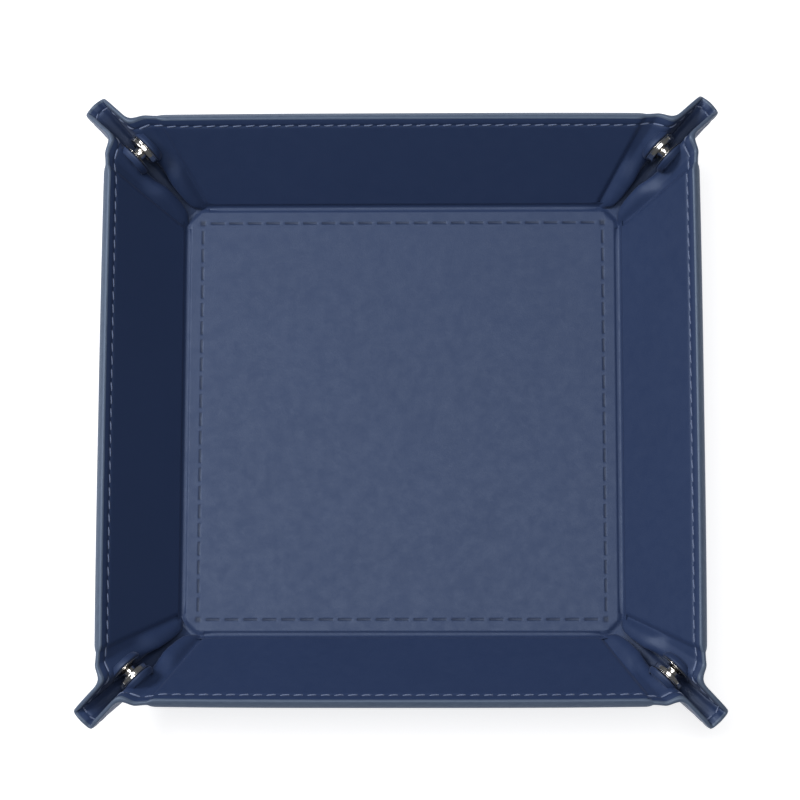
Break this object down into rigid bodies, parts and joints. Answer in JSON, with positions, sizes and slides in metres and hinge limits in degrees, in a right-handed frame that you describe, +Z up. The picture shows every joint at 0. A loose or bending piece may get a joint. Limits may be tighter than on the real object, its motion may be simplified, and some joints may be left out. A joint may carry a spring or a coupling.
{
  "type": "folding dice tray",
  "caption": "Square leather tray whose walls fold flat, held up by snap fasteners that pinch its corners into outward ears.",
  "frame": {"origin": "centre of the floor's underside, on the surface the tray stands on", "axes": "+Z up out of the tray, +Y towards the back wall, +X towards the right wall"},
  "size_m": [0.1914, 0.1914, 0.0287],
  "materials": {
    "leather_outer": "fine-grained navy, satin",
    "leather_inner": "fine-grained navy, satin",
    "greyboard": "raw pressed board",
    "thread": "blue polyester lockstitch thread",
    "nickel": "polished nickel plate",
    "spring_steel": "bright wire"
  },
  "bodies": {
    "floor": {"outer_skin_floor": "leather_outer", "floor_board": "greyboard", "inner_skin_floor": "leather_inner"},
    "wall_front": {"outer_skin_front": "leather_outer", "wall_board_front": "greyboard", "inner_skin_front": "leather_inner", "rim_thread_front": "thread"},
    "wall_right": {"outer_skin_right": "leather_outer", "wall_board_right": "greyboard", "inner_skin_right": "leather_inner", "rim_thread_right": "thread"},
    "wall_back": {"outer_skin_back": "leather_outer", "wall_board_back": "greyboard", "inner_skin_back": "leather_inner", "rim_thread_back": "thread"},
    "wall_left": {"outer_skin_left": "leather_outer", "wall_board_left": "greyboard", "inner_skin_left": "leather_inner", "rim_thread_left": "thread"},
    "ear_front_right_of_front": {"ear_front_right_of_front": "leather_outer", "snap_cap_front_right": "nickel", "snap_socket_front_right": "nickel", "snap_spring_front_right": "spring_steel"},
    "spine_front_right_of_front": {"spine_front_right_of_front": "leather_outer"},
    "ear_front_left_of_front": {"ear_front_left_of_front": "leather_outer", "snap_cap_front_left": "nickel", "snap_socket_front_left": "nickel", "snap_spring_front_left": "spring_steel"},
    "spine_front_left_of_front": {"spine_front_left_of_front": "leather_outer"},
    "ear_back_right_of_right": {"ear_back_right_of_right": "leather_outer", "snap_eyelet_back_right": "nickel", "snap_stud_back_right": "nickel"},
    "spine_back_right_of_right": {"spine_back_right_of_right": "leather_outer"},
    "ear_front_right_of_right": {"ear_front_right_of_right": "leather_outer", "snap_eyelet_front_right": "nickel", "snap_stud_front_right": "nickel"},
    "spine_front_right_of_right": {"spine_front_right_of_right": "leather_outer"},
    "ear_back_left_of_back": {"ear_back_left_of_back": "leather_outer", "snap_cap_back_left": "nickel", "snap_socket_back_left": "nickel", "snap_spring_back_left": "spring_steel"},
    "spine_back_left_of_back": {"spine_back_left_of_back": "leather_outer"},
    "ear_back_right_of_back": {"ear_back_right_of_back": "leather_outer", "snap_cap_back_right": "nickel", "snap_socket_back_right": "nickel", "snap_spring_back_right": "spring_steel"},
    "spine_back_right_of_back": {"spine_back_right_of_back": "leather_outer"},
    "ear_front_left_of_left": {"ear_front_left_of_left": "leather_outer", "snap_eyelet_front_left": "nickel", "snap_stud_front_left": "nickel"},
    "spine_front_left_of_left": {"spine_front_left_of_left": "leather_outer"},
    "ear_back_left_of_left": {"ear_back_left_of_left": "leather_outer", "snap_eyelet_back_left": "nickel", "snap_stud_back_left": "nickel"},
    "spine_back_left_of_left": {"spine_back_left_of_left": "leather_outer"}
  },
  "joints": [
    {"name": "wall_front_fold", "type": "hinge", "parent": "floor", "child": "wall_front", "pos_m": [0, -0.067, 0.00155], "axis": [1, 0, 0], "range_deg": [0, 46.5]},
    {"name": "wall_right_fold", "type": "hinge", "parent": "floor", "child": "wall_right", "pos_m": [0.067, 0, 0.00155], "axis": [0, 1, 0], "range_deg": [0, 46.5]},
    {"name": "wall_back_fold", "type": "hinge", "parent": "floor", "child": "wall_back", "pos_m": [0, 0.067, 0.00155], "axis": [-1, 0, 0], "range_deg": [0, 46.5]},
    {"name": "wall_left_fold", "type": "hinge", "parent": "floor", "child": "wall_left", "pos_m": [-0.067, 0, 0.00155], "axis": [0, -1, 0], "range_deg": [0, 46.5]},
    {"name": "ear_front_right_of_front_fold", "type": "hinge", "parent": "wall_front", "child": "ear_front_right_of_front", "pos_m": [0.06276, -0.067, 0.00155], "axis": [0.567, -0.567, 0.5975], "range_deg": [0, 59.14]},
    {"name": "spine_front_right_of_front_fold", "type": "hinge", "parent": "ear_front_right_of_front", "child": "spine_front_right_of_front", "pos_m": [0.06276, -0.067, 0.00155], "axis": [-0.6343, 0.6343, -0.442], "range_deg": [0, 90]},
    {"name": "ear_front_left_of_front_fold", "type": "hinge", "parent": "wall_front", "child": "ear_front_left_of_front", "pos_m": [-0.06276, -0.067, 0.00155], "axis": [0.567, 0.567, -0.5975], "range_deg": [0, 59.14]},
    {"name": "spine_front_left_of_front_fold", "type": "hinge", "parent": "ear_front_left_of_front", "child": "spine_front_left_of_front", "pos_m": [-0.06276, -0.067, 0.00155], "axis": [-0.6343, -0.6343, 0.442], "range_deg": [0, 90]},
    {"name": "ear_back_right_of_right_fold", "type": "hinge", "parent": "wall_right", "child": "ear_back_right_of_right", "pos_m": [0.067, 0.06276, 0.00155], "axis": [0.567, 0.567, 0.5975], "range_deg": [0, 59.14]},
    {"name": "spine_back_right_of_right_fold", "type": "hinge", "parent": "ear_back_right_of_right", "child": "spine_back_right_of_right", "pos_m": [0.067, 0.06276, 0.00155], "axis": [-0.6343, -0.6343, -0.442], "range_deg": [0, 90]},
    {"name": "ear_front_right_of_right_fold", "type": "hinge", "parent": "wall_right", "child": "ear_front_right_of_right", "pos_m": [0.067, -0.06276, 0.00155], "axis": [-0.567, 0.567, -0.5975], "range_deg": [0, 59.14]},
    {"name": "spine_front_right_of_right_fold", "type": "hinge", "parent": "ear_front_right_of_right", "child": "spine_front_right_of_right", "pos_m": [0.067, -0.06276, 0.00155], "axis": [0.6343, -0.6343, 0.442], "range_deg": [0, 90]},
    {"name": "ear_back_left_of_back_fold", "type": "hinge", "parent": "wall_back", "child": "ear_back_left_of_back", "pos_m": [-0.06276, 0.067, 0.00155], "axis": [-0.567, 0.567, 0.5975], "range_deg": [0, 59.14]},
    {"name": "spine_back_left_of_back_fold", "type": "hinge", "parent": "ear_back_left_of_back", "child": "spine_back_left_of_back", "pos_m": [-0.06276, 0.067, 0.00155], "axis": [0.6343, -0.6343, -0.442], "range_deg": [0, 90]},
    {"name": "ear_back_right_of_back_fold", "type": "hinge", "parent": "wall_back", "child": "ear_back_right_of_back", "pos_m": [0.06276, 0.067, 0.00155], "axis": [-0.567, -0.567, -0.5975], "range_deg": [0, 59.14]},
    {"name": "spine_back_right_of_back_fold", "type": "hinge", "parent": "ear_back_right_of_back", "child": "spine_back_right_of_back", "pos_m": [0.06276, 0.067, 0.00155], "axis": [0.6343, 0.6343, 0.442], "range_deg": [0, 90]},
    {"name": "ear_front_left_of_left_fold", "type": "hinge", "parent": "wall_left", "child": "ear_front_left_of_left", "pos_m": [-0.067, -0.06276, 0.00155], "axis": [-0.567, -0.567, 0.5975], "range_deg": [0, 59.14]},
    {"name": "spine_front_left_of_left_fold", "type": "hinge", "parent": "ear_front_left_of_left", "child": "spine_front_left_of_left", "pos_m": [-0.067, -0.06276, 0.00155], "axis": [0.6343, 0.6343, -0.442], "range_deg": [0, 90]},
    {"name": "ear_back_left_of_left_fold", "type": "hinge", "parent": "wall_left", "child": "ear_back_left_of_left", "pos_m": [-0.067, 0.06276, 0.00155], "axis": [0.567, -0.567, -0.5975], "range_deg": [0, 59.14]},
    {"name": "spine_back_left_of_left_fold", "type": "hinge", "parent": "ear_back_left_of_left", "child": "spine_back_left_of_left", "pos_m": [-0.067, 0.06276, 0.00155], "axis": [-0.6343, 0.6343, 0.442], "range_deg": [0, 90]}
  ],
  "couplings": [
    {"joint": "wall_right_fold", "follows": "wall_front_fold", "ratio": 1},
    {"joint": "wall_back_fold", "follows": "wall_front_fold", "ratio": 1},
    {"joint": "wall_left_fold", "follows": "wall_front_fold", "ratio": 1},
    {"joint": "ear_front_right_of_front_fold", "follows": "wall_front_fold", "ratio": 1.2719},
    {"joint": "spine_front_right_of_front_fold", "follows": "wall_front_fold", "ratio": 1.9355},
    {"joint": "ear_front_left_of_front_fold", "follows": "wall_front_fold", "ratio": 1.2719},
    {"joint": "spine_front_left_of_front_fold", "follows": "wall_front_fold", "ratio": 1.9355},
    {"joint": "ear_back_right_of_right_fold", "follows": "wall_front_fold", "ratio": 1.2719},
    {"joint": "spine_back_right_of_right_fold", "follows": "wall_front_fold", "ratio": 1.9355},
    {"joint": "ear_front_right_of_right_fold", "follows": "wall_front_fold", "ratio": 1.2719},
    {"joint": "spine_front_right_of_right_fold", "follows": "wall_front_fold", "ratio": 1.9355},
    {"joint": "ear_back_left_of_back_fold", "follows": "wall_front_fold", "ratio": 1.2719},
    {"joint": "spine_back_left_of_back_fold", "follows": "wall_front_fold", "ratio": 1.9355},
    {"joint": "ear_back_right_of_back_fold", "follows": "wall_front_fold", "ratio": 1.2719},
    {"joint": "spine_back_right_of_back_fold", "follows": "wall_front_fold", "ratio": 1.9355},
    {"joint": "ear_front_left_of_left_fold", "follows": "wall_front_fold", "ratio": 1.2719},
    {"joint": "spine_front_left_of_left_fold", "follows": "wall_front_fold", "ratio": 1.9355},
    {"joint": "ear_back_left_of_left_fold", "follows": "wall_front_fold", "ratio": 1.2719},
    {"joint": "spine_back_left_of_left_fold", "follows": "wall_front_fold", "ratio": 1.9355}
  ]
}
